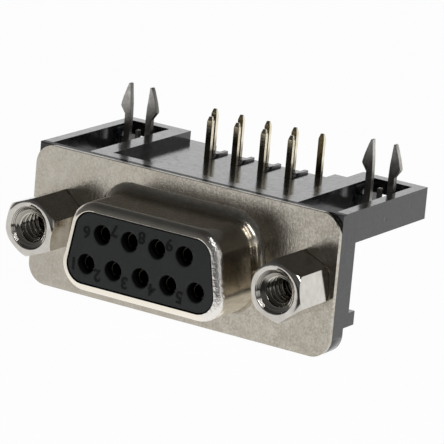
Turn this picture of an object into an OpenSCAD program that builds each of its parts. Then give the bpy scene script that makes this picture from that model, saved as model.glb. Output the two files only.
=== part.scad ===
// Nine-way right-angle socket connector with a D-shaped shroud, board locks and screwlocks.
// Frame: +X to the right, +Y from the mating side towards the back, +Z towards the board.
// Origin: centre of the D on the front face of the flange. All sizes are in millimetres.

/* [Shell] */
// Width of the mounting flange
flange_w = 30.81; // [30.2:0.01:37]
// Height of the mounting flange
flange_h = 12.55; // [12:0.05:15.2]
// Corner radius of the flange
flange_corner_r = 1.8; // [0.8:0.1:2.4]
// Thickness of the drawn steel sheet
shell_t = 0.45; // [0.35:0.01:0.55]
// Widest outside width of the D-shaped shroud
shroud_w = 16.33; // [16:0.01:17.2]
// Outside height of the shroud
shroud_h = 7.9; // [7.6:0.01:8.6]
// Outside corner radius of the shroud
shroud_corner_r = 2.4; // [2.1:0.1:2.7]
// Lean of the two short sides of the D, in degrees
shroud_side_lean = 10; // [6:0.5:12]
// How far the shroud stands out from the flange
shroud_depth = 6.0; // [5.6:0.1:7.2]
// Outside radius of the bend between flange and shroud
root_bend_r = 0.9; // [0.6:0.05:1]
// Outside radius of the rolled front lip
lip_bend_r = 0.8; // [0.6:0.05:0.9]

/* [Contacts] */
// Distance between neighbours in one row of contacts
contact_pitch = 2.77; // [2.6:0.01:2.85]
// Distance between the two rows of contacts
row_pitch = 2.84; // [2.6:0.01:3]
// Outside diameter of a socket barrel
barrel_d = 1.5; // [1.4:0.02:1.56]
// Bore of a socket barrel
socket_bore_d = 1.06; // [1.02:0.01:1.1]
// Width of each of the two slots that part the rolled barrel into springs
socket_slot_w = 0.38; // [0.32:0.01:0.4]
// Distance of the barrel's mouth behind the insulator face
socket_inset = 0.8; // [0.3:0.1:1]
// Diameter of the retaining collar behind the barrel
contact_collar_d = 1.9; // [1.75:0.05:2.1]
// Thickness of that collar
contact_collar_t = 0.45; // [0.35:0.05:0.5]
// Width of a flat solder tail
tail_w = 0.56; // [0.45:0.01:0.66]
// Thickness of a flat solder tail
tail_t = 0.38; // [0.3:0.01:0.45]
// Inside radius of the tail's right-angle bend
tail_bend_r = 0.7; // [0.5:0.05:1]
// Length of the bevelled point of a tail
tail_point = 0.45; // [0.3:0.05:0.6]
// Distance of the front row of tails behind the flange face
tail_y = 9.9; // [9.4:0.05:11]
// Distance between the two rows of tails
tail_row_pitch = 2.84; // [2.6:0.01:3.1]
// Height of the tails above the board seat
tail_reach = 3.0; // [2.4:0.05:3.8]

/* [Insulators] */
// Diameter of the round cavity in the front insulator
cavity_d = 1.66; // [1.64:0.02:1.8]
// Width of the bevel at each cavity's mouth
cavity_bevel = 0.12; // [0.05:0.01:0.2]
// Thickness of the collar on each insulator
insulator_collar_t = 0.6; // [0.5:0.05:0.7]
// How far the collars reach beyond the outline of the shroud
insulator_collar_over = 1.0; // [0.6:0.05:1.1]
// How far the rear block reaches beyond the outline of the shroud
rear_block_over = 0.2; // [0.1:0.05:0.3]
// Depth of the rear block behind the flange face
rear_block_y = 5.4; // [4.4:0.1:6.4]
// Clearance between moulded and metal pieces that slide together
fit_gap = 0.05; // [0.03:0.01:0.08]

/* [Bracket] */
// Thickness of the bracket's front wall
wall_t = 1.7; // [1.6:0.05:2]
// Distance of the ends of the arms behind the flange face
arm_y = 14.45; // [14.2:0.05:16.5]
// Height of the arms
arm_h = 2.8; // [2.5:0.05:3.1]
// Width of the window in each arm
window_w = 3.9; // [3.6:0.05:4.1]
// Thickness of the wall between flange and window
window_front_t = 0.5; // [0.4:0.05:0.9]
// Width of the inner rail of each arm
inner_rail_w = 1.6; // [1.3:0.05:1.9]
// Thickness of the cross bar at the end of each arm
end_bar_t = 1.05; // [0.8:0.05:1.2]
// Height of that cross bar
end_bar_h = 1.25; // [0.9:0.05:1.6]
// How much the rails thicken where they hold the board lock
boss_t = 0.35; // [0.25:0.05:0.5]
// Step from the rails down to the top of that thickening
boss_drop = 0.35; // [0.1:0.05:0.6]
// Distance from the board lock to the front of that thickening
boss_lead = 0.55; // [0.4:0.05:0.8]
// Step from the rails down to the plate between them
plate_step = 0.8; // [0.6:0.05:1]
// Thickness of the plate that guides the tails
plate_t = 1.1; // [0.9:0.05:1.3]
// Depth of the notch behind each rear tail
tail_notch = 1.0; // [0.5:0.05:1.2]
// Width of the cut-out in the plate's rear edge
plate_cut_w = 12.3; // [12.2:0.05:13]
// Height of the fins between the tails
fin_h = 0.22; // [0.15:0.01:0.5]
// Width of each fin
fin_w = 0.36; // [0.3:0.02:0.6]
// How far the nut blocks stand out behind the front wall
nut_block_t = 0.68; // [0.4:0.02:1]
// Distance from the screw's axis down to the bottom of a nut block
nut_block_low = 3.87; // [3.4:0.01:4.2]
// Thickness of the nut block on the inner side of the nut
nut_wall = 0.6; // [0.5:0.05:0.8]
// How far the lug at the bottom of a nut block stands out behind it
lug_out = 1.0; // [0.6:0.05:1.4]
// Height of that lug
lug_h = 1.22; // [0.8:0.02:1.4]

/* [Board locks] */
// Thickness of the board locks' sheet
lock_t = 0.5; // [0.4:0.02:0.6]
// Distance over the outsides of the two stems
lock_stem_span = 2.84; // [2.6:0.02:3]
// Width of each stem
lock_stem_w = 0.62; // [0.5:0.02:0.7]
// Distance over the tips of the two barbs
lock_barb_span = 3.8; // [3.5:0.05:4.2]
// Height of the barbs above the board seat
lock_barb_z = 1.85; // [1.7:0.05:2.6]
// Height of the whole lock above the board seat
lock_reach = 3.95; // [3.7:0.05:4.6]
// Width of the base, whose ends stand in grooves in the rails
lock_base_w = 4.5; // [4.3:0.05:4.7]
// Height of the base above the bottom of the arms
lock_base_h = 1.7; // [1.4:0.05:2]
// Width of the tongue between the two stems
lock_tongue_w = 0.34; // [0.25:0.01:0.45]
// Height of the slope below each barb, where the stem widens
lock_barb_slope = 0.75; // [0.5:0.05:0.9]
// Height of the blunt edge at the tip of each barb
lock_barb_blunt = 0.15; // [0.05:0.01:0.2]
// How far the blunt edge leans in towards its lower end
lock_barb_lean = 0.05; // [0.02:0.01:0.1]
// Height of the fork's first bend above the barbs
lock_bend_low = 0.8; // [0.6:0.05:1]
// Height of the fork's second bend above the barbs
lock_bend_high = 1.7; // [1.5:0.05:1.8]
// Distance of the first bend in from the barb's tip
lock_bend_low_in = 0.2; // [0.1:0.01:0.3]
// Distance of the second bend in from the barb's tip
lock_bend_high_in = 0.52; // [0.4:0.01:0.6]
// Distance of the point's outer edge in from the barb's tip
lock_point_in = 0.68; // [0.6:0.01:0.75]
// Width of the blunt point at the top
lock_point_w = 0.18; // [0.1:0.01:0.25]
// How far the inner edge of each stem leans out towards the barb
lock_inner_lean = 0.05; // [0.02:0.01:0.1]
// Height above the barbs at which the inner edge turns out towards the point
lock_inner_high = 0.3; // [0.2:0.05:0.5]

/* [Screwlocks] */
// Distance between the two screwlocks
screw_pitch = 24.99; // [24.6:0.01:26.5]
// Distance over the flats of a screwlock
hex_af = 4.76; // [4.5:0.01:5]
// Length of a screwlock in front of the flange
hex_len = 4.7; // [4.4:0.1:6]
// Outside diameter of the screw thread
thread_d = 2.84; // [2.5:0.01:3]
// Depth of the threaded bore
thread_depth = 3.9; // [3.2:0.1:4.1]
// Diameter of the countersink at the mouth
countersink_d = 3.75; // [3.3:0.05:4]
// Turn of the left screwlock's first corner above the horizontal, in degrees
hex_turn_left = 22; // [0:1:59]
// Turn of the right screwlock's first corner above the horizontal, in degrees
hex_turn_right = 38; // [0:1:59]
// Length of the round chamfer on the corners at the mouth
hex_chamfer = 0.35; // [0.2:0.05:0.5]
// Diameter of the face inside that chamfer
hex_face_d = 4.66; // [4.4:0.02:4.7]
// Clearance round the stud in the flange and the bracket
stud_gap = 0.12; // [0.05:0.01:0.2]
// Length of the stud behind the flange face
stud_len = 3.9; // [3.3:0.05:4.2]
// Diameter of the face that bears on the flange
hex_seat_d = 4.56; // [4.3:0.02:4.7]
// Length of the chamfer at that face
hex_seat_chamfer = 0.3; // [0.1:0.05:0.4]
// Length of the taper at the end of the stud
stud_point = 0.3; // [0.2:0.05:0.4]
// Diameter of the end of the stud
stud_point_d = 2.24; // [2:0.02:2.4]
// Thickness of the nut
nut_t = 1.6; // [1.3:0.05:1.8]
// Distance over the flats of the nut
nut_af = 4.76; // [4.6:0.01:4.9]

/* [Hidden] */
$fn = 48;
eps = 0.01;
// How far the straights of the D stand inside the tangent of its corners, so that they cross cleanly
weld = 0.002;
// Width cut from the rolled lip where the sheet ends
lip_edge = 0.08;
// Level, clear behind the flange, at which the cut for the inside of the shell starts
shell_cut_low = -2 * shell_t;
CONTACTS_WIDE_ROW = 5;
CONTACTS = 9;
SIDES = [-1, 1];

// Heights and depths that several pieces share
seat_z = flange_h / 2;
wall_y = shell_t + wall_t;
tail_top_z = seat_z + tail_reach;
plate_z = seat_z - plate_step;
arm_z = seat_z - arm_h;
face_y = -shroud_depth + fit_gap;
cavity_y = shell_t + insulator_collar_t;
rear_collar_y = cavity_y + insulator_collar_t;
screw_x = screw_pitch / 2;
stud_hole_d = thread_d + 2 * stud_gap;
// Play of the stud in the nut's thread, on the diameter
nut_thread_gap = 0.04;

// The D: corner centres of the shroud and the direction in which each corner starts and ends
half_h = shroud_h / 2 - shroud_corner_r;
// Radius of the plain core that fills the middle of the D
core_r = 0.4 * shroud_corner_r;
// Where the flare of the root begins, out from the corner centres
flare_x = 0.5 * shroud_corner_r;
wide_x = shroud_w / 2 - shroud_corner_r;
narrow_x = wide_x - 2 * half_h * tan(shroud_side_lean);
D_CENTRES = [[wide_x, -half_h], [narrow_x, half_h], [-narrow_x, half_h], [-wide_x, -half_h]];
D_TURNS = [
  [-90, shroud_side_lean],
  [shroud_side_lean, 90],
  [90, 180 - shroud_side_lean],
  [180 - shroud_side_lean, 270]
];

// The board locks stand midway between the two rows of tails
lock_y = tail_y + tail_row_pitch / 2;
window_x = [screw_x - window_w / 2, screw_x + window_w / 2];
end_bar_y = arm_y - end_bar_t;
plate_cut_y = tail_y + tail_row_pitch + tail_t / 2;
lock_slot_t = lock_t + 2 * fit_gap;
nut_back_y = wall_y + nut_block_t;
nut_front_y = nut_back_y - nut_t;
// How far the underside of a board lock stands above the bottom of the arms
lock_raise = 0.1;
// The base of a board lock: its underside, and its shoulders against the tops of the grooves
lock_low_z = arm_z + lock_raise;
lock_shoulder_z = arm_z + lock_base_h;
// How far the tongue ends below the board seat
lock_tongue_drop = 0.15;
// Height of the web that joins the two stems
lock_web_h = 1.0;

// Which row a contact is in, and where it and its tail stand
function in_wide_row(n) = n <= CONTACTS_WIDE_ROW;
function contact_x(n) = in_wide_row(n)
  ? (n - (CONTACTS_WIDE_ROW + 1) / 2) * contact_pitch
  : (n - (CONTACTS_WIDE_ROW + 1 + CONTACTS) / 2) * contact_pitch;
function contact_z(n) = (in_wide_row(n) ? -1 : 1) * row_pitch / 2;
function contact_tail_y(n) = in_wide_row(n) ? tail_y + tail_row_pitch : tail_y;

// Direction of length r at an angle
function polar(r, a) = [r * cos(a), r * sin(a)];

// Stands a drawing in the X-Z plane up as a solid between two depths
module along_y(y0, y1) {
  translate([0, y1, 0])
    rotate([90, 0, 0])
      linear_extrude(y1 - y0)
        children();
}

// A block given by its two opposite corners
module block(low, high) {
  translate(low)
    cube(high - low);
}

// A round bar along Y
module bar_y(x, z, y0, y1, d0, d1) {
  translate([x, y1, z])
    rotate([90, 0, 0])
      cylinder(h = y1 - y0, d1 = d1, d2 = d0);
}

// The outline of the D, with its corners at radius r round the shared centres
module d_outline(r) {
  for (c = D_CENTRES)
    translate(c)
      circle(r);
  polygon([for (i = [0 : 3]) for (a = D_TURNS[i]) D_CENTRES[i] + polar(r - weld, a)]);
}

// A filled D between two heights. The first child is its section at the corners, the second along
// the straights, a hair smaller: so each straight sinks into the corners instead of just touching.
module d_solid(low, high) {
  translate([0, 0, low])
    linear_extrude(high - low)
      d_outline(core_r);
  for (i = [0 : 3]) {
    next = (i + 1) % 4;
    translate(D_CENTRES[i])
      rotate_extrude()
        children(0);
    translate(D_CENTRES[next])
      rotate(D_TURNS[i][1])
        rotate([90, 0, 0])
          linear_extrude(norm(D_CENTRES[next] - D_CENTRES[i]))
            children(1);
  }
}

// Section of the flare at the root of the shroud, left of and below a circle of radius r
module flare_section(r, low) {
  difference() {
    translate([flare_x, low])
      square([shroud_corner_r + root_bend_r - flare_x, root_bend_r - weld - low]);
    translate([shroud_corner_r + root_bend_r, root_bend_r - weld])
      circle(r);
  }
}

// Section of everything inside the shroud's outer face, made smaller by inset
module outer_section(inset) {
  low = -shell_t / 2 + inset;
  translate([0, low])
    square([shroud_corner_r - inset, shroud_depth - lip_bend_r - low]);
  translate([0, low])
    square([shroud_corner_r - lip_bend_r, shroud_depth - inset - low]);
  translate([shroud_corner_r - lip_bend_r, shroud_depth - lip_bend_r])
    circle(lip_bend_r - inset);
  flare_section(root_bend_r + inset, low);
}

// Section of everything inside the shroud's inner face, made smaller by inset
module inner_section(inset) {
  low = shell_cut_low + inset;
  translate([0, low])
    square([shroud_corner_r - shell_t - inset, shroud_depth - lip_bend_r - low]);
  translate([0, low])
    square([shroud_corner_r - lip_bend_r, shroud_depth - shell_t - inset - low]);
  translate([shroud_corner_r - lip_bend_r, shroud_depth - lip_bend_r])
    circle(lip_bend_r - shell_t - inset);
  translate([0, low])
    square([shroud_corner_r - lip_bend_r + lip_edge - inset, shroud_depth + shell_t - inset - low]);
  flare_section(root_bend_r + shell_t + inset, low);
}

// Outline of the flange, with its two upper corners square where that is asked for
module flange_outline(square_top = false) {
  w = flange_w / 2;
  h = flange_h / 2;
  r = flange_corner_r;
  for (x = [-w + r, w - r])
    for (z = square_top ? [-h + r] : [-h + r, h - r])
      translate([x, z])
        circle(r);
  translate([-w, -h + r])
    square([flange_w, square_top ? flange_h - r : flange_h - 2 * r]);
  translate([-w + r, -h])
    square([flange_w - 2 * r, flange_h]);
}

module stud_holes_outline() {
  for (side = SIDES)
    translate([side * screw_x, 0])
      circle(d = stud_hole_d);
}

// Drawn steel front shell: flange and shroud from one sheet
module front_shell() {
  color("silver")
    difference() {
      union() {
        along_y(0, shell_t)
          flange_outline();
        rotate([90, 0, 0])
          d_solid(-shell_t / 2, shroud_depth) {
            outer_section(0);
            outer_section(weld);
          }
      }
      rotate([90, 0, 0])
        d_solid(shell_cut_low, shroud_depth + shell_t) {
          inner_section(0);
          inner_section(weld);
        }
      along_y(-eps, shell_t + eps)
        stud_holes_outline();
    }
}

// Moulded front insulator: face, body and retaining collar, with a cavity for each contact
module front_insulator() {
  color("dimgray")
    difference() {
      union() {
        along_y(face_y, -shroud_depth + lip_bend_r)
          d_outline(shroud_corner_r - lip_bend_r - fit_gap);
        along_y(-shroud_depth + lip_bend_r, shell_t)
          d_outline(shroud_corner_r - shell_t - fit_gap);
        along_y(shell_t, cavity_y)
          d_outline(shroud_corner_r + insulator_collar_over);
      }
      for (n = [1 : CONTACTS]) {
        x = contact_x(n);
        z = contact_z(n);
        bar_y(x, z, face_y - eps, cavity_y + eps, cavity_d, cavity_d);
        bar_y(
          x, z, face_y - eps, face_y + cavity_bevel,
          cavity_d + 2 * (cavity_bevel + eps), cavity_d
        );
      }
    }
}

// Moulded rear insulator: clamps the contacts' collars and guides their tails out of the back
module rear_insulator() {
  slot_w = tail_w + 2 * fit_gap;
  slot_t = tail_t + 2 * fit_gap;
  color("dimgray")
    difference() {
      union() {
        along_y(cavity_y, rear_collar_y)
          d_outline(shroud_corner_r + insulator_collar_over);
        along_y(rear_collar_y, rear_block_y)
          d_outline(shroud_corner_r + rear_block_over);
      }
      for (n = [1 : CONTACTS]) {
        x = contact_x(n);
        z = contact_z(n);
        bar_y(
          x, z, cavity_y - eps, cavity_y + contact_collar_t + fit_gap,
          contact_collar_d + 2 * fit_gap, contact_collar_d + 2 * fit_gap
        );
        block(
          [x - slot_w / 2, cavity_y, z - slot_t / 2],
          [x + slot_w / 2, rear_block_y + eps, z + slot_t / 2]
        );
      }
    }
}

// Outline of a bar of width w that ends in a bevelled point at height top
module pointed_outline(w, low, top, point) {
  bevel = w / 4;
  polygon([
    [-w / 2, low], [w / 2, low], [w / 2, top - point],
    [w / 2 - bevel, top], [-w / 2 + bevel, top], [-w / 2, top - point]
  ]);
}

// Flat tail of one contact: straight out of the insulator, a round bend, then up to its point
module contact_tail(n) {
  x = contact_x(n);
  z = contact_z(n);
  y = contact_tail_y(n);
  bend_y = y - tail_t / 2 - tail_bend_r;
  bend_z = z + tail_t / 2 + tail_bend_r;
  block(
    [x - tail_w / 2, cavity_y + contact_collar_t, z - tail_t / 2],
    [x + tail_w / 2, bend_y, z + tail_t / 2]
  );
  translate([x - tail_w / 2, bend_y, bend_z])
    rotate([0, 90, 0])
      rotate_extrude(angle = 90)
        translate([tail_bend_r, 0])
          square([tail_t, tail_w]);
  intersection() {
    along_y(y - tail_t / 2, y + tail_t / 2)
      translate([x, 0])
        pointed_outline(tail_w, bend_z, tail_top_z, tail_point);
    translate([x - tail_w / 2, y, 0])
      rotate([90, 0, 90])
        linear_extrude(tail_w)
          pointed_outline(tail_t, bend_z, tail_top_z, tail_point);
  }
}

// One socket contact: rolled barrel of two springs, retaining collar and bent tail
module contact(n) {
  x = contact_x(n);
  z = contact_z(n);
  mouth_y = face_y + socket_inset;
  color("goldenrod") {
    difference() {
      bar_y(x, z, mouth_y, cavity_y, barrel_d, barrel_d);
      bar_y(x, z, mouth_y - eps, cavity_y + eps, socket_bore_d, socket_bore_d);
      block(
        [x - socket_slot_w / 2, mouth_y - eps, z - barrel_d],
        [x + socket_slot_w / 2, cavity_y + eps, z + barrel_d]
      );
    }
    bar_y(x, z, cavity_y, cavity_y + contact_collar_t, contact_collar_d, contact_collar_d);
    contact_tail(n);
  }
}

// Holes for the front tails, and notches for the rear tails, in the bracket's plate
module tail_openings() {
  slot_w = tail_w + 2 * fit_gap;
  for (n = [1 : CONTACTS]) {
    x = contact_x(n);
    y = contact_tail_y(n);
    back = tail_t / 2 + (in_wide_row(n) ? tail_notch : fit_gap);
    block(
      [x - slot_w / 2, y - tail_t / 2 - fit_gap, plate_z - plate_t - eps],
      [x + slot_w / 2, y + back, plate_z + eps]
    );
  }
}

// Plate between the arms, with fins that part the tails
module tail_plate() {
  inner_x = window_x[0] - inner_rail_w;
  difference() {
    block([-inner_x, wall_y, plate_z - plate_t], [inner_x, arm_y, plate_z]);
    block(
      [-plate_cut_w / 2, plate_cut_y, plate_z - plate_t - eps],
      [plate_cut_w / 2, arm_y + eps, plate_z + eps]
    );
    tail_openings();
  }
  for (n = [CONTACTS_WIDE_ROW + 1 : CONTACTS])
    block(
      [contact_x(n) - fin_w / 2, tail_y + tail_t / 2 + fit_gap, plate_z],
      [contact_x(n) + fin_w / 2, plate_cut_y, plate_z + fin_h]
    );
}

// One arm on the right: a frame of two rails and a cross bar, grooved from below for the board lock
module arm() {
  difference() {
    block([window_x[0] - inner_rail_w, shell_t, arm_z], [flange_w / 2, arm_y, seat_z]);
    difference() {
      block([window_x[0], shell_t + window_front_t, arm_z - eps], [window_x[1], end_bar_y, seat_z + eps]);
      for (x = [window_x[0], window_x[1] - boss_t])
        block([x, lock_y - boss_lead, arm_z], [x + boss_t, end_bar_y, seat_z - boss_drop]);
    }
    block(
      [window_x[0], end_bar_y - eps, arm_z - eps],
      [window_x[1], arm_y + eps, seat_z - end_bar_h]
    );
    block(
      [screw_x - lock_base_w / 2 - fit_gap, lock_y - lock_slot_t / 2, arm_z - eps],
      [screw_x + lock_base_w / 2 + fit_gap, lock_y + lock_slot_t / 2, lock_shoulder_z]
    );
  }
}

// Six-sided bar along Y with a corner at the top
module hex_y(x, y0, y1, af) {
  translate([x, y1, 0])
    rotate([90, 0, 0])
      rotate(30)
        cylinder(h = y1 - y0, d = af / cos(30), $fn = 6);
}

// Block behind the right end of the wall, which the nut's pocket passes through
module nut_block() {
  inner_x = screw_x - nut_af / 2 - fit_gap - nut_wall;
  block([inner_x, wall_y - eps, -nut_block_low], [flange_w / 2, nut_back_y, arm_z + eps]);
  block(
    [inner_x, nut_back_y - eps, -nut_block_low],
    [flange_w / 2, nut_back_y + lug_out, -nut_block_low + lug_h]
  );
}

// Moulded bracket: front wall, two arms for the board locks, tail plate and nut blocks
module bracket() {
  color([0.16, 0.16, 0.17])
    difference() {
      union() {
        along_y(shell_t, wall_y)
          flange_outline(square_top = true);
        arm();
        nut_block();
        mirror([1, 0, 0]) {
          arm();
          nut_block();
        }
        tail_plate();
      }
      along_y(shell_t - eps, rear_collar_y + fit_gap)
        d_outline(shroud_corner_r + insulator_collar_over + fit_gap);
      along_y(shell_t - eps, wall_y + eps)
        d_outline(shroud_corner_r + rear_block_over + fit_gap);
      for (side = SIDES) {
        block(
          [side * screw_x - window_w / 2, shell_t + window_front_t, arm_z],
          [side * screw_x + window_w / 2, nut_back_y + eps, seat_z + eps]
        );
        bar_y(side * screw_x, 0, shell_t - eps, nut_front_y + eps, stud_hole_d, stud_hole_d);
        hex_y(side * screw_x, nut_front_y, nut_back_y + eps, nut_af + 2 * fit_gap);
      }
    }
}

// Right half of a board lock's fork, from the middle of its base to the middle of its tongue
function lock_half() = let (
  stem_out = lock_stem_span / 2,
  stem_in = lock_stem_span / 2 - lock_stem_w,
  barb_x = lock_barb_span / 2,
  barb_z = seat_z + lock_barb_z,
  top_z = seat_z + lock_reach,
  web_z = lock_low_z + lock_web_h
) [
  [lock_base_w / 2, lock_low_z],
  [lock_base_w / 2, lock_shoulder_z],
  [stem_out, lock_shoulder_z],
  [stem_out, barb_z - lock_barb_slope],
  [barb_x - lock_barb_lean, barb_z - lock_barb_blunt],
  [barb_x, barb_z],
  [barb_x - lock_bend_low_in, barb_z + lock_bend_low],
  [barb_x - lock_bend_high_in, barb_z + lock_bend_high],
  [barb_x - lock_point_in, top_z],
  [barb_x - lock_point_in - lock_point_w, top_z],
  [stem_in + lock_inner_lean, barb_z + lock_inner_high],
  [stem_in, barb_z - lock_bend_low],
  [stem_in, web_z],
  [lock_tongue_w / 2, web_z],
  [lock_tongue_w / 2, seat_z - lock_tongue_drop]
];

function reversed(v) = [for (i = [len(v) - 1 : -1 : 0]) v[i]];

// Pressed fork that snaps into the circuit board
module boardlock(side) {
  half = lock_half();
  color("slategray")
    along_y(lock_y - lock_t / 2, lock_y + lock_t / 2)
      translate([side * screw_x, 0])
        polygon(concat(half, [for (p = reversed(half)) [-p[0], p[1]]]));
}

// Hexagonal screwlock: threaded bore in front, threaded stud behind
module screwlock(side) {
  corner_d = hex_af / cos(30);
  round_d = corner_d + hex_chamfer;
  sink = (countersink_d - thread_d) / 2;
  color("silver")
    translate([side * screw_x, 0, 0])
      difference() {
        union() {
          intersection() {
            rotate([90, 0, 0])
              rotate(side > 0 ? hex_turn_right : hex_turn_left)
                cylinder(h = hex_len, d = corner_d, $fn = 6);
            union() {
              bar_y(0, 0, -hex_len, hex_chamfer - hex_len, hex_face_d, round_d);
              bar_y(0, 0, hex_chamfer - hex_len, -hex_seat_chamfer, round_d, round_d);
              bar_y(0, 0, -hex_seat_chamfer, 0, round_d, hex_seat_d);
            }
          }
          bar_y(0, 0, 0, stud_len - stud_point, thread_d, thread_d);
          bar_y(0, 0, stud_len - stud_point, stud_len, thread_d, stud_point_d);
        }
        bar_y(0, 0, -hex_len - eps, thread_depth - hex_len, thread_d, thread_d);
        bar_y(0, 0, -hex_len - eps, sink - hex_len, countersink_d + 2 * eps, thread_d);
      }
}

// Hexagonal nut in its pocket in the bracket
module locknut(side) {
  color("silver")
    difference() {
      hex_y(side * screw_x, nut_front_y, nut_back_y, nut_af);
      bar_y(
        side * screw_x, 0, nut_front_y - eps, nut_back_y + eps,
        thread_d + nut_thread_gap, thread_d + nut_thread_gap
      );
    }
}

front_shell();
front_insulator();
rear_insulator();
bracket();
for (n = [1 : CONTACTS])
  contact(n);
boardlock(-1);  // boardlock_left
boardlock(1);  // boardlock_right
screwlock(-1);  // screwlock_left
screwlock(1);  // screwlock_right
locknut(-1);  // locknut_left
locknut(1);  // locknut_right
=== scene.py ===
import math

import bmesh
import bpy
from mathutils import Matrix, Vector


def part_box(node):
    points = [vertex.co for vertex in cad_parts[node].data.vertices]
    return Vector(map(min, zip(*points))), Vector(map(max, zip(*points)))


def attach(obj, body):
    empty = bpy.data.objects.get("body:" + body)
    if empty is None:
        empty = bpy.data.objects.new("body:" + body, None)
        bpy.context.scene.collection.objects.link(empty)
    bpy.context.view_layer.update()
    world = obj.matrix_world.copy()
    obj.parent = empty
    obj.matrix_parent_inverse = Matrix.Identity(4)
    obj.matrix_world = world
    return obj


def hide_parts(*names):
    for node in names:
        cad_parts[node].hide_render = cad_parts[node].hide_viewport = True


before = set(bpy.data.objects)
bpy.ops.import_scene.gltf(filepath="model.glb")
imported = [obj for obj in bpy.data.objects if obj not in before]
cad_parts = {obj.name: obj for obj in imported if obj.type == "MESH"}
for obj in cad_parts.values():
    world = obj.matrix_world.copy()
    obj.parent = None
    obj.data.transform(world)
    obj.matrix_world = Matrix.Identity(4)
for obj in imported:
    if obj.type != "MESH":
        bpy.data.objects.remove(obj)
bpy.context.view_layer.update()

# Sizes and places are in millimetres, in the part's own frame: +X to the right, +Y to the back, +Z to the
# circuit board. MM turns them into Blender's metres.
MM = 0.001


def mm(*point):
    return Vector([v * MM for v in point])


# ---------------------------------------------------------------- measures taken from the frame
bracket_low, bracket_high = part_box("bracket")
screw_low, screw_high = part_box("screwlock_right")
flange_back_y = bracket_low.y / MM
side_x = bracket_high.x / MM
seat_z = bracket_high.z / MM
ground_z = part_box("front_shell")[0].z / MM
face_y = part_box("front_insulator")[0].y / MM
screw_x = (screw_low.x + screw_high.x) / 2 / MM
hex_front = screw_low.y / MM
stud_end = screw_high.y / MM

# ---------------------------------------------------------------- measures of what only this script adds
# Y of the shroud's front
SHROUD_FRONT = -6.0
# Screw thread: radius over the crests of the stud, radius at its root, and pitch
THREAD_R, ROOT_R, PITCH = 1.42, 1.14, 0.635
# Depth behind the screwlock's mouth at which its thread begins
THREAD_START = 0.12
# Radius at which a turned profile ends at its axis
AXIS_R = 0.0001
# Distance over the flats of a screwlock
HEX_FLATS = 4.76
# Countersink of a screwlock: its radius, and the depths at which its cone begins and ends
SINK_R, SINK_TOP, SINK_END = 1.84, 0.07, 0.62
# Angle of each screwlock's first corner above the horizontal, in degrees
HEX_TURNS = {"left": 22, "right": 38}
# Distance between the middle of the face and each row of contacts
ROW_Z = 1.42


# ---------------------------------------------------------------- node trees
class Value:
    """What a node gives out. Plain arithmetic with it adds Math nodes to its tree."""

    def __init__(self, nodes, socket):
        self.nodes = nodes
        self.socket = socket

    def __add__(self, other):
        return self.nodes.math("ADD", self, other)

    def __sub__(self, other):
        return self.nodes.math("SUBTRACT", self, other)

    def __mul__(self, other):
        return self.nodes.math("MULTIPLY", self, other)

    def __truediv__(self, other):
        return self.nodes.math("DIVIDE", self, other)

    def ramp(self, low, high, at_low, at_high, curve="LINEAR"):
        """Goes from at_low to at_high as the value goes from low to high, and is level outside them."""
        node = self.nodes.node("ShaderNodeMapRange", interpolation_type=curve)
        for i, v in enumerate((self, low, high, at_low, at_high)):
            self.nodes.feed(node.inputs[i], v)
        return Value(self.nodes, node.outputs[0])

    def ramp_mm(self, low, high, at_low, at_high):
        """The same for a length, with low and high in millimetres."""
        return self.ramp(low * MM, high * MM, at_low, at_high)


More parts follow.
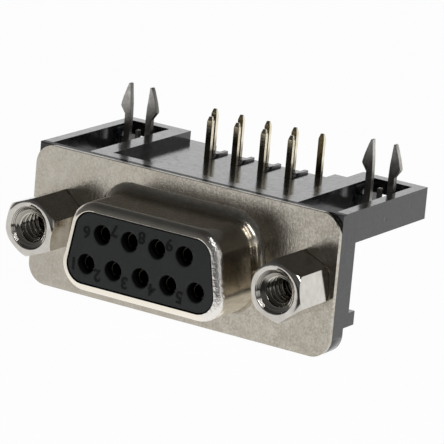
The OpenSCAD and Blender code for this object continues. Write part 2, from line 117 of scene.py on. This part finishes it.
class Nodes:
    """A node tree, emptied first, with short calls for the nodes used here."""

    def __init__(self, tree):
        tree.nodes.clear()
        self.tree = tree
        self.coord = self.node("ShaderNodeTexCoord")

    def node(self, kind, **settings):
        node = self.tree.nodes.new(kind)
        for name, setting in settings.items():
            setattr(node, name, setting)
        return node

    def feed(self, socket, value):
        """Links a value to a socket, or sets the socket's own number, colour or vector."""
        if isinstance(value, Value):
            self.tree.links.new(value.socket, socket)
        elif socket.type == "RGBA":
            socket.default_value = (*value, 1)
        else:
            socket.default_value = value

    def out(self, node, name):
        return Value(self, node.outputs[name])

    def place(self, space):
        """The coordinate node's vector of one kind: Object, Normal or Generated."""
        return self.out(self.coord, space)

    def parts(self, space):
        """X, Y and Z of that vector."""
        node = self.node("ShaderNodeSeparateXYZ")
        self.feed(node.inputs[0], self.place(space))
        return [Value(self, socket) for socket in node.outputs]

    def math(self, operation, a, b=0):
        node = self.node("ShaderNodeMath", operation=operation)
        self.feed(node.inputs[0], a)
        self.feed(node.inputs[1], b)
        return Value(self, node.outputs[0])

    def vector_math(self, operation, a, b):
        """For the operations on two vectors that give one number."""
        node = self.node("ShaderNodeVectorMath", operation=operation)
        self.feed(node.inputs[0], a)
        self.feed(node.inputs[1], b)
        return self.out(node, "Value")

    def noise(self, scale, detail=3, roughness=0.55):
        """Noise with the scale in waves a metre. Three scales stretch it along the axes."""
        node = self.node("ShaderNodeTexNoise")
        vector = self.place("Object")
        if isinstance(scale, tuple):
            mapping = self.node("ShaderNodeMapping")
            self.feed(mapping.inputs["Vector"], vector)
            self.feed(mapping.inputs["Scale"], scale)
            vector = self.out(mapping, "Vector")
            scale = 1.0
        self.feed(node.inputs["Vector"], vector)
        self.feed(node.inputs["Scale"], scale)
        self.feed(node.inputs["Detail"], detail)
        self.feed(node.inputs["Roughness"], roughness)
        return self.out(node, "Fac")

    def mix(self, factor, a, b):
        """Colour a where the factor is 0, colour b where it is 1."""
        node = self.node("ShaderNodeMix", data_type="RGBA")
        factor_in, a_in, b_in, colour_out = 0, 6, 7, 2
        for i, v in ((factor_in, factor), (a_in, a), (b_in, b)):
            self.feed(node.inputs[i], v)
        return Value(self, node.outputs[colour_out])

    def blend(self, factor, a, b):
        """Shader a where the factor is 0, shader b where it is 1."""
        node = self.node("ShaderNodeMixShader")
        for i, v in enumerate((factor, a, b)):
            self.feed(node.inputs[i], v)
        return self.out(node, "Shader")

    def glow(self, kind, colour, strength=1.0):
        """A shader of one colour that gives light. Its kind is Emission or Background."""
        node = self.node("ShaderNode" + kind)
        self.feed(node.inputs["Color"], colour)
        self.feed(node.inputs["Strength"], strength)
        return self.out(node, kind)


class Look(Nodes):
    """A material with one Principled shader. The keywords set numbers on that shader's own sockets."""

    def __init__(self, name, **numbers):
        self.material = bpy.data.materials.new(name)
        self.material.use_nodes = True
        super().__init__(self.material.node_tree)
        self.surface = self.node("ShaderNodeOutputMaterial").inputs["Surface"]
        self.shader = self.node("ShaderNodeBsdfPrincipled")
        self.feed(self.surface, self.out(self.shader, "BSDF"))
        for socket, number in numbers.items():
            self.give(socket.replace("_", " "), number)

    def give(self, socket, value):
        self.feed(self.shader.inputs[socket], value)

    def bump(self, height, depth, strength):
        """Bump whose height of 1 is this many millimetres."""
        node = self.node("ShaderNodeBump")
        self.feed(node.inputs["Strength"], strength)
        self.feed(node.inputs["Distance"], depth * MM)
        self.feed(node.inputs["Height"], height)
        self.give("Normal", self.out(node, "Normal"))


# ---------------------------------------------------------------- materials
def plated_sheet():
    """Plated steel of the shell: satin and speckled on the flange, brighter and smoother on the shroud. The
    flange's darker tone and the dark corners of its cut edge are painted shade; the shroud has painted shade
    on its right side, painted light on its underside and a painted highlight on its dented lip.
    """
    look = Look("plated_sheet", Metallic=1.0)
    x, y, z = look.parts("Object")
    cloud = look.noise(260, 3, 0.5)
    mottle = look.noise(900, 5, 0.65)
    peel = look.noise(4600, 3, 0.55)
    grain = look.noise((5200, 5200, 1500), 4, 0.6)
    speck = look.noise((5000, 5000, 4200), 3, 0.6)
    dents = look.noise(3200, 4, 0.55)

    # 0 on the drawn shroud, 1 on the flat flange
    flat = y.ramp_mm(-1.0, -0.3, 0.0, 1.0)
    # 1 on the flange's cut top edge
    cut = z.ramp_mm(seat_z - 0.065, seat_z - 0.035, 0.0, 1.0)
    # How bright that edge is painted: dark along its two corners as painted shade, and lighter between them
    cut_painted_shade = look.math("MINIMUM", y.ramp_mm(0.05, 0.10, 0.30, 0.62), y.ramp_mm(0.29, 0.33, 0.62, 0.10))
    # 1 on the right part of the rolled lip, where it is dented and painted paler as a painted highlight, and
    # little on the rest of the lip
    lip_dents_and_highlight = y.ramp_mm(SHROUD_FRONT + 0.4, SHROUD_FRONT + 0.8, 1.0, 0.0) * x.ramp_mm(5.8, 6.8, 0.06, 1.0)
    # How dark the painted shade on the upper part of the shroud's right side is
    right_side_painted_shade = x.ramp_mm(5.8, 7.0, 0, 0.6) * z.ramp_mm(-1.8, 0.6, 0, 1) * y.ramp_mm(-2.0, -0.9, 1, 0)
    # 1 on the shroud's underside, which is painted paler as painted light
    underside_painted_light = z.ramp_mm(-3.2, -1.2, 1, 0)

    spots = mottle.ramp(0.3, 0.7, 0, 0.5) + speck.ramp(0.34, 0.66, 0, 0.5)
    spots = (spots - 0.5) * x.ramp_mm(-6.0, 10.0, 1.0, 1.9) + 0.5
    # The flange's satin tone is painted darker than the shroud's as painted shade
    satin = look.mix(spots, (0.43, 0.392, 0.33), (0.65, 0.612, 0.54))
    satin = look.mix(cloud.ramp(0.45, 0.75, 0, 0.35), satin, (0.43, 0.375, 0.30))
    satin = look.mix(z.ramp_mm(-5.5, 3.0, 0.16, 0.0), satin, (0.24, 0.215, 0.18))
    # Painted shade: black at the cut edge's two corners
    edge = look.mix(cut_painted_shade, (0.0, 0.0, 0.0), satin)

    polished = look.mix(mottle.ramp(0.3, 0.7, 0, 1), (0.74, 0.68, 0.585), (0.88, 0.83, 0.74))
    # Painted light: the shroud's underside is painted paler
    polished = look.mix(underside_painted_light, polished, (1.0, 0.94, 0.82))
    # Painted shade on the upper part of the shroud's right side
    polished = look.mix(right_side_painted_shade, polished, (0.30, 0.26, 0.20))
    # Painted highlight: the dented part of the lip is painted paler
    polished = look.mix(lip_dents_and_highlight, polished, (0.95, 0.915, 0.87))

    look.give("Base Color", look.mix(flat, polished, look.mix(cut, satin, edge)))
    roughness = flat.ramp(0, 1, 0.12, 0.21) + grain.ramp(0.3, 0.7, -0.03, 0.06)
    look.give("Roughness", roughness + lip_dents_and_highlight * 0.10)
    height = peel * flat.ramp(0, 1, 0.0, 0.30) + grain * flat.ramp(0, 1, 0.2, 0.55) + dents * (lip_dents_and_highlight * 4.6)
    look.bump(height, 0.026, 0.9)
    return look.material


def insulator_plastic():
    """Matte moulded plastic, painted black inside its cavities as painted shade."""
    look = Look("insulator_plastic", Metallic=0.0, IOR=1.43)
    y = look.parts("Object")[1]
    fine = look.noise(6000, 3, 0.6)
    # Painted shade: black inside the cavities behind the face
    inside = y.ramp_mm(face_y + 0.02, face_y + 0.12, 0, 1) * y.ramp_mm(0.0, 1.0, 1, 0)
    tone = look.mix(look.noise(500), (0.039, 0.043, 0.042), (0.057, 0.062, 0.0605))
    look.give("Base Color", look.mix(inside, tone, (0.002, 0.0025, 0.002)))
    look.give("Roughness", fine.ramp(0.3, 0.7, 0.5, 0.68))
    look.bump(fine, 0.006, 0.5)
    return look.material


def number_plastic():
    """Smoother plastic of the raised numbers, painted far darker than the face as painted shade."""
    look = Look("number_plastic", Metallic=0.0, IOR=1.25)
    look.give("Base Color", look.mix(look.noise(900), (0.003, 0.004, 0.0035), (0.006, 0.007, 0.0065)))
    look.give("Roughness", look.noise(4000).ramp(0.3, 0.7, 0.26, 0.36))
    look.bump(look.noise(5000), 0.004, 0.4)
    return look.material


def bracket_plastic():
    """Glossy black moulding: slightly wavy, speckled, with a rounded front edge and a round gate mark."""
    look = Look("bracket_plastic", Metallic=0.0, IOR=1.5, Coat_Weight=0.3, Coat_Roughness=0.10)
    gate_mark = mm(side_x, 7.57, 4.64)
    y, z = look.parts("Object")[1:]
    speck = look.noise(3000, 4, 0.6).ramp(0.42, 0.66, 0, 1)
    look.give("Base Color", look.mix(speck, (0.003, 0.003, 0.0035), (0.026, 0.028, 0.032)))
    look.give("Roughness", look.noise(2500, 4).ramp(0.3, 0.7, 0.13, 0.23))
    wave = look.noise(160, 3, 0.5) + look.noise(700, 3, 0.6) * 0.25 + look.noise(3200, 4, 0.6) * 0.10
    on_top = z.ramp_mm(seat_z - 0.12, seat_z - 0.06, 0, 1)
    front_edge = y.ramp_mm(flange_back_y, flange_back_y + 0.51, -8.0, 0.0) * on_top
    gate = look.vector_math("DISTANCE", look.place("Object"), gate_mark).ramp_mm(0.16, 0.24, 1, 0)
    look.bump(wave + front_edge - gate * 0.6, 0.07, 0.6)
    return look.material


def contact_plating():
    """Pale plating. The tails' front and back faces are painted duller as painted shade, and the tails are
    dark low down. The barrels are painted dark as painted shade.
    """
    look = Look("contact_plating", Metallic=1.0)
    y, z = look.parts("Object")[1:]
    facing_y = look.math("ABSOLUTE", look.parts("Normal")[1])
    patches = look.noise(1500, 4).ramp(0.35, 0.65, 0, 1)
    sides = look.mix(patches, (0.76, 0.68, 0.50), (0.88, 0.82, 0.68))
    # Painted shade: faces that look forward or back are painted duller
    fronts_painted_shade = look.mix(patches, (0.32, 0.275, 0.17), (0.52, 0.46, 0.33))
    tone = look.mix(facing_y.ramp(0.6, 0.85, 0, 1), sides, fronts_painted_shade)
    tone = look.mix(z.ramp_mm(seat_z - 0.1, seat_z + 0.8, 0.70, 0), tone, (0.07, 0.06, 0.04))
    # Painted shade: the barrels inside the insulator are painted dark
    look.give("Base Color", look.mix(y.ramp_mm(0.0, 2.0, 1, 0), tone, (0.026, 0.024, 0.018)))
    look.give("Roughness", look.noise(4000).ramp(0.3, 0.7, 0.12, 0.22))
    look.bump(look.noise((6000, 6000, 900), 3, 0.6), 0.004, 0.5)
    return look.material


def lock_sheet():
    """Sheet of the board locks: dark at the foot, paler at the tips, and the left lock's right edges painted
    dark as painted shade.
    """
    look = Look("lock_sheet", Metallic=1.0)
    x, _, z = look.parts("Object")
    facing_x = look.parts("Normal")[0]
    high = z.ramp_mm(7.2, 9.2, 0.0, 0.8) + look.noise(2200, 5, 0.65).ramp(0.35, 0.65, -0.25, 0.25)
    # Painted shade on the left lock's faces that face right
    edge = facing_x.ramp(0.5, 0.8, 0, 0.85) * x.ramp_mm(-1.0, 1.0, 1, 0)
    tone = look.mix(high, (0.30, 0.285, 0.26), (0.70, 0.68, 0.645))
    look.give("Base Color", look.mix(edge, tone, (0.14, 0.135, 0.12)))
    look.give("Roughness", look.noise(4000).ramp(0.3, 0.7, 0.3, 0.48))
    look.bump(look.noise((7000, 900, 1200), 3, 0.6), 0.004, 0.5)
    return look.material


def bright_plating():
    """Bright plating of screwlocks and nuts. In the bores, thread crests are painted bright as painted
    highlights and roots dark as painted shade, more so deeper in.
    """
    look = Look("bright_plating", Metallic=1.0)
    x, y, z = look.parts("Object")
    aside = x - look.math("SIGN", x) * (screw_x * MM)
    radius = look.math("SQRT", aside * aside + z * z)
    bore = radius.ramp_mm(SINK_R, SINK_R + 0.05, 1, 0) * y.ramp_mm(-0.2, 0.0, 1, 0)
    bore_painted_light = bore * y.ramp_mm(hex_front + 0.05, hex_front + 0.8, 0.1, 1.0)

    # Place along the thread in turns. The whole turns that are added keep it above 0, and its phase is 0.5
    # on a crest
    whole_turns, crest_at = 20, 0.5
    turns = (y - (hex_front + THREAD_START) * MM) / (PITCH * MM)
    turns = turns - look.math("ARCTAN2", aside, z) / (2 * math.pi)
    phase = look.math("FRACT", turns + (whole_turns + crest_at))
    crest = look.math("ABSOLUTE", phase - crest_at).ramp(0.06, 0.16, 1, 0)

    bright = look.mix(look.noise(1200, 4).ramp(0.3, 0.7, 0, 1), (0.58, 0.555, 0.51), (0.70, 0.675, 0.63))
    # Painted light in the bores: bright crests as painted highlights, dark roots as painted shade
    thread = look.mix(crest, (0.22, 0.205, 0.17), (0.90, 0.87, 0.80))
    look.give("Base Color", look.mix(bore_painted_light, bright, thread))
    look.give("Roughness", look.noise(3000, 4).ramp(0.3, 0.7, 0.07, 0.16))
    ring_pitch = 0.12
    rings = look.math("SINE", y * (2 * math.pi / (ring_pitch * MM)))
    marks = look.noise((1500, 9000, 1500), 3, 0.6)
    look.bump(marks + rings * bore * 1.6, 0.004, 0.7)
    return look.material


def floor_white():
    """White floor. Mirrored in the part it is dark far in front of it and in front at the right."""
    look = Look("floor_white", Roughness=0.9)
    x, y, _ = look.parts("Object")
    look.give("Base Color", look.mix(look.noise(40, 2), (0.93, 0.93, 0.93), (0.95, 0.95, 0.95)))
    # The dark stretch at the right is bounded by a line that leans to the right towards the back
    lean = x - y * 0.612
    beside = look.math("MAXIMUM", lean.ramp_mm(20.5, 26.0, 1.0, 0.0), y.ramp_mm(-12.5, -9.5, 0.0, 1.0))
    near = y.ramp_mm(-160, -90, 0.0, 1.0) * beside
    path = look.node("ShaderNodeLightPath")
    mirrored = look.out(path, "Is Glossy Ray")
    seen = look.out(path, "Is Camera Ray") * 0.975
    white_share = seen + mirrored * near * y.ramp_mm(-2.0, 1.0, 0.81, 0.95)
    white = look.glow("Emission", (1, 1, 1))
    dark = look.glow("Emission", (0.04, 0.04, 0.04))
    surface = look.blend(white_share, look.out(look.shader, "BSDF"), white)
    surface = look.blend(mirrored * look.math("SUBTRACT", 1.0, near), surface, dark)
    look.feed(look.surface, surface)
    return look.material


def studio_world():
    """White to the camera. For all else, light low down except at the front left, and a dim grey above."""
    world = bpy.data.worlds.new("world")
    world.use_nodes = True
    nodes = Nodes(world.node_tree)
    darkest = Vector((-0.30, -0.80, 0.52)).normalized()
    up = nodes.parts("Generated")[2]
    towards = nodes.vector_math("DOT_PRODUCT", nodes.place("Generated"), darkest)
    low_light = towards.ramp(0.10, 0.55, 0.82, 0.0, "SMOOTHSTEP") * up.ramp(0.28, 0.42, 1.0, 0.0)
    dim_grey = up.ramp(0.20, 0.90, 0.15, 0.05)
    sky = nodes.glow("Background", (0.8, 0.8, 0.8), low_light + dim_grey)
    white = nodes.glow("Background", (1, 1, 1))
    seen = nodes.out(nodes.node("ShaderNodeLightPath"), "Is Camera Ray")
    out = nodes.node("ShaderNodeOutputWorld")
    nodes.feed(out.inputs["Surface"], nodes.blend(seen, sky, white))
    return world


NUMBER_PLASTIC = number_plastic()
NICKEL = bright_plating()


# ---------------------------------------------------------------- mesh helpers
def new_object(name, verts, faces):
    mesh = bpy.data.meshes.new(name)
    mesh.from_pydata([tuple(v) for v in verts], [], faces)
    mesh.validate()
    return linked(name, mesh)


def linked(name, data):
    ob = bpy.data.objects.new(name, data)
    bpy.context.scene.collection.objects.link(ob)
    return ob


def evaluated_mesh(ob):
    return bpy.data.meshes.new_from_object(ob.evaluated_get(bpy.context.evaluated_depsgraph_get()))


def apply_modifiers(ob):
    mesh = evaluated_mesh(ob)
    ob.modifiers.clear()
    ob.data = mesh


def shade(ob, angle):
    """Smooth faces, with every edge that turns by more than this many degrees kept sharp."""
    bm = bmesh.new()
    bm.from_mesh(ob.data)
    limit = math.radians(angle)
    for face in bm.faces:
        face.smooth = True
    for edge in bm.edges:
        edge.smooth = not (len(edge.link_faces) == 2 and edge.calc_face_angle(0) > limit)
    bm.to_mesh(ob.data)
    bm.free()


def even(ob):
    """Flat faces keep their own normal, and the small rounds between them take up the turn."""
    m = ob.modifiers.new("even", "WEIGHTED_NORMAL")
    m.mode = "FACE_AREA"
    m.weight = 100
    m.keep_sharp = True
    apply_modifiers(ob)


def softened(node, name, material, width, angle=40):
    """A copy of a CAD node whose edges sharper than the angle have the small round of the real piece."""
    ob = linked(name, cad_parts[node].data.copy())
    bm = bmesh.new()
    bm.from_mesh(ob.data)
    bmesh.ops.remove_doubles(bm, verts=bm.verts, dist=1e-7)
    bmesh.ops.dissolve_limit(bm, angle_limit=math.radians(0.4), verts=bm.verts, edges=bm.edges)
    limit = math.radians(angle)
    sharp = [e for e in bm.edges if len(e.link_faces) == 2 and e.calc_face_angle(0) > limit]
    bmesh.ops.bevel(
        bm, geom=sharp, offset=width * MM, offset_type="OFFSET", segments=2, profile=0.5,
        affect="EDGES", clamp_overlap=True)
    bm.to_mesh(ob.data)
    bm.free()
    ob.data.materials.clear()
    ob.data.materials.append(material)
    shade(ob, angle=32)
    even(ob)
    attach(ob, "root")
    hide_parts(node)
    return ob


def round_y(radius, angle, y):
    """A point at a radius and an angle round the Y axis."""
    return (radius * math.sin(angle), y, radius * math.cos(angle))


def lathe(profile, steps):
    """Vertices and faces of a closed profile of (radius, y) turned round the Y axis."""
    n = len(profile)
    verts = [round_y(r, 2 * math.pi * i / steps, y) for i in range(steps) for r, y in profile]
    faces = []
    for i in range(steps):
        k = (i + 1) % steps
        for j in range(n):
            m = (j + 1) % n
            faces.append((i * n + j, k * n + j, k * n + m, i * n + m))
    return verts, faces


def helix(y0, y1, root, crest, steps=48):
    """A right-hand thread ridge swept round Y from y0 to y1. root and crest give its two radii at a y."""
    # Half widths of the ridge at its foot and at its crest, as shares of the pitch
    foot, top = 0.42, 0.07
    # How far the foot stands in the wall, and the share of a turn in which the ridge rises and falls
    sink = 0.03 if root(y1) > crest(y1) else -0.03
    rise = 0.25
    n = int(steps * (y1 - y0) / PITCH)
    verts, faces = [], []
    for i in range(n + 1):
        angle = 2 * math.pi * i / steps
        y = y0 + PITCH * i / steps
        grow = min(1.0, (i + 1) / (steps * rise), (n - i + 1) / (steps * rise))
        ridge = root(y) + (crest(y) - root(y)) * grow
        verts += [
            round_y(root(y - foot * PITCH) + sink, angle, y - foot * PITCH),
            round_y(ridge, angle, y - top * PITCH),
            round_y(ridge, angle, y + top * PITCH),
            round_y(root(y + foot * PITCH) + sink, angle, y + foot * PITCH),
        ]
    for i in range(n):
        for j in range(4):
            k = (j + 1) % 4
            faces.append((4 * i + j, 4 * i + k, 4 * i + 4 + k, 4 * i + 4 + j))
    faces.append((0, 1, 2, 3))
    faces.append((4 * n + 3, 4 * n + 2, 4 * n + 1, 4 * n))
    return verts, faces


def solid(name, verts, faces):
    """A closed object in millimetres, with its faces turned outwards."""
    ob = new_object(name, verts, faces)
    bm = bmesh.new()
    bm.from_mesh(ob.data)
    bmesh.ops.remove_doubles(bm, verts=bm.verts, dist=1e-6)
    bmesh.ops.recalc_face_normals(bm, faces=bm.faces)
    bm.to_mesh(ob.data)
    bm.free()
    return ob


def intersect(ob, other):
    """Keeps only what the other object also holds, and removes that object."""
    m = ob.modifiers.new("cut", "BOOLEAN")
    m.operation = "INTERSECT"
    m.object = other
    m.solver = "EXACT"
    apply_modifiers(ob)
    bpy.data.objects.remove(other)


def joined(name, obs):
    """One object from several, scaled from millimetres to metres."""
    verts, faces = [], []
    for ob in obs:
        base = len(verts)
        verts += [v.co * MM for v in ob.data.vertices]
        faces += [tuple(base + i for i in f.vertices) for f in ob.data.polygons]
        bpy.data.objects.remove(ob)
    return new_object(name, verts, faces)


# ---------------------------------------------------------------- the screwlocks, with their threads
def mouth_r(y):
    """Radius of the countersunk bore at a y."""
    slope = (SINK_R - THREAD_R) / (SINK_END - SINK_TOP)
    return max(THREAD_R, SINK_R - (y - hex_front - SINK_TOP) * slope)


def female_crest_r(y):
    """Radius of the bore's thread crests at a y. They rise out of the cone and end at the stud's root."""
    first_height, growth = 0.12, 0.30
    return max(ROOT_R, mouth_r(y) - first_height - growth * (y - hex_front - THREAD_START))


def hexagon(turn):
    """A plain hexagonal bar as long as the screwlock's head."""
    corner_r = HEX_FLATS / 2 / math.cos(math.radians(30))
    angles = [math.radians(turn + 60 * i) for i in range(6)]
    corners = [(corner_r * math.cos(a), corner_r * math.sin(a)) for a in angles]
    verts = [(x, y, z) for y in (hex_front, 0) for x, z in corners]
    sides = [(i, i + 6, (i + 1) % 6 + 6, (i + 1) % 6) for i in range(6)]
    return solid("hexagon", verts, [tuple(range(6)), tuple(range(11, 5, -1))] + sides)


def turned_blank():
    """What a lathe would leave of a round bar: bore, countersink, crowned mouth and chamfered seat."""
    # Radius, and depth behind the mouth, along the countersink and over the crown of the mouth
    mouth = [
        (THREAD_R, SINK_END), (SINK_R, SINK_TOP), (1.88, 0.018), (1.94, 0.0),
        (2.24, 0.0), (2.34, 0.03), (2.46, 0.10), (2.58, 0.21), (2.70, 0.37), (2.83, 0.62), (2.95, 1.0)]
    # Radius and y of the drilled end of the bore, and of the chamfer at the flange and the seat on it
    bore_end = [(AXIS_R, -0.25), (THREAD_R, -0.8)]
    seat = [(2.95, -0.32), (2.55, -0.13), (2.22, 0.0), (AXIS_R, 0.0)]
    return solid("turned", *lathe(bore_end + [(r, hex_front + y) for r, y in mouth] + seat, steps=96))


def jackscrew(side, turn):
    """One screwlock: the hexagonal head with a threaded bore, and the threaded stud behind it."""
    name = "jackscrew_" + ("left" if side < 0 else "right")
    # The stud begins inside the head, and its thread ends before its chamfer
    stud_start, male_start, male_end = -0.05, 0.5, stud_end - 0.3
    female_start, female_end = hex_front + THREAD_START, -1.05
    chamfer_length, chamfer_depth = 0.12, 0.14
    head = hexagon(turn)
    intersect(head, turned_blank())
    outline = [
        (AXIS_R, stud_start), (ROOT_R, stud_start), (ROOT_R, stud_end - chamfer_length),
        (ROOT_R - chamfer_depth, stud_end), (AXIS_R, stud_end)]
    stud = solid("stud", *lathe(outline, steps=48))
    male = solid("male", *helix(male_start, male_end, lambda y: ROOT_R, lambda y: THREAD_R))
    female = solid("female", *helix(female_start, female_end, mouth_r, female_crest_r))
    ob = joined(name, [head, stud, male, female])
    ob.data.transform(Matrix.Translation(mm(side * screw_x, 0, 0)))
    shade(ob, angle=28)
    ob.data.materials.append(NICKEL)
    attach(ob, "root")
    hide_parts("screwlock_left" if side < 0 else "screwlock_right")
    return ob


jackscrew(-1, HEX_TURNS["left"])
jackscrew(1, HEX_TURNS["right"])


# ---------------------------------------------------------------- plain contact numbers on the face
def number(digit, x, z):
    """A raised digit on the insulator's face, upside down as the connector stands."""
    curve = bpy.data.curves.new("number_%s" % digit, "FONT")
    curve.body = digit
    curve.size = 1.45 * MM
    curve.align_x = "CENTER"
    curve.align_y = "CENTER"
    curve.extrude = 0.024 * MM
    curve.bevel_depth = 0.012 * MM
    curve.bevel_resolution = 1
    curve.offset = 0.02 * MM
    text = linked("text", curve)
    bpy.context.view_layer.update()
    mesh = evaluated_mesh(text)
    bpy.data.objects.remove(text)
    ob = linked("number_%s" % digit, mesh)
    # Distance between the face and the middle of the digit's thickness
    stand = 0.009
    turn = Matrix(((-1, 0, 0), (0, 0, -1), (0, -1, 0))).to_4x4()
    mesh.transform(Matrix.Translation(mm(x, face_y - stand, z)) @ turn)
    mesh.materials.clear()
    mesh.materials.append(NUMBER_PLASTIC)
    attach(ob, "root")
    return ob


# Each number stands to the left of its contact and away from the other row. The first of a row has a place
# of its own, clear of the face's corner. A place is a distance to the right of the contact and one above it.
ASIDE, AWAY = -1.5, 0.7
FIRST_PLACES = {1: (-1.2, -0.15), 6: (-1.5, 0.0)}
for i in range(1, 10):
    lower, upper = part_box("contact_%d" % i)
    row = -1 if i < 6 else 1
    aside, above = FIRST_PLACES.get(i, (ASIDE, row * AWAY))
    number(str(i), (lower.x + upper.x) / 2 / MM + aside, row * ROW_Z + above)

# ---------------------------------------------------------------- every other node with its finish
INSULATOR = insulator_plastic()
LOCK = lock_sheet()
CONTACT = contact_plating()
softened("front_shell", "shell", plated_sheet(), width=0.05)
softened("front_insulator", "face_block", INSULATOR, width=0.04)
softened("rear_insulator", "rear_block", INSULATOR, width=0.06)
softened("bracket", "bracket_moulding", bracket_plastic(), width=0.07)
for side in ("left", "right"):
    softened("boardlock_" + side, "fork_" + side, LOCK, width=0.05, angle=30)
    softened("locknut_" + side, "nut_" + side, NICKEL, width=0.12)
for i in range(1, 10):
    softened("contact_%d" % i, "socket_%d" % i, CONTACT, width=0.035, angle=30)


# ---------------------------------------------------------------- camera
def camera_at(azimuth, elevation, roll, distance, right_by, up_by):
    """A camera that looks at the part's origin from a direction in degrees, moved across its own view."""
    a, e, r = math.radians(azimuth), math.radians(elevation), math.radians(roll)
    back = Vector((math.sin(a) * math.cos(e), -math.cos(a) * math.cos(e), math.sin(e)))
    level = Vector((math.cos(a), math.sin(a), 0))
    upright = back.cross(level)
    right = math.cos(r) * level + math.sin(r) * upright
    up = -math.sin(r) * level + math.cos(r) * upright
    data = bpy.data.cameras.new("camera")
    data.sensor_width = 36
    data.lens = 305.7
    data.clip_start = 0.01
    data.clip_end = 10
    camera = linked("camera", data)
    place = (back * distance + right * right_by + up * up_by) * MM
    camera.matrix_world = Matrix.Translation(place) @ Matrix((right, up, back)).transposed().to_4x4()
    return camera


bpy.context.scene.camera = camera_at(
    azimuth=31.43, elevation=15.04, roll=5.13, distance=320.75, right_by=3.59, up_by=2.32)

# ---------------------------------------------------------------- floor, world and lamps
# Half a side of the square floor, and the gap between it and the part
FLOOR_HALF, FLOOR_GAP = 900, 0.01
signs = ((-1, -1), (1, -1), (1, 1), (-1, 1))
floor_corners = [mm(x * FLOOR_HALF, y * FLOOR_HALF, ground_z - FLOOR_GAP) for x, y in signs]
floor = new_object("floor", floor_corners, [(0, 1, 2, 3)])
floor.data.materials.append(floor_white())
bpy.context.scene.world = studio_world()


def lamp(name, at, size, size_y, power, along=None):
    """A rectangular lamp aimed at the origin. Its first side runs level, or as near to along as it can."""
    data = bpy.data.lights.new(name, "AREA")
    data.shape = "RECTANGLE"
    data.size = size * MM
    data.size_y = size_y * MM
    data.energy = power
    ob = linked(name, data)
    away = mm(*at).normalized()
    side = Vector(along or (-away.y, away.x, 0.0))
    side = (side - away * side.dot(away)).normalized()
    ob.rotation_mode = "QUATERNION"
    ob.rotation_quaternion = Matrix((side, away.cross(side), away)).transposed().to_quaternion()
    ob.location = mm(*at)
    ob.visible_camera = False


# The strip gives the small highlights on the lip and the root, the wide lamp the gloss of the top faces
lamp("lamp_strip", at=(137, -91, 175), size=150, size_y=28, power=0.135, along=(-0.67, 0.16, 0.61))
lamp("lamp_back", at=(-230, 375, 112), size=330, size_y=90, power=0.054)

view = bpy.context.scene.view_settings
view.view_transform = "Standard"
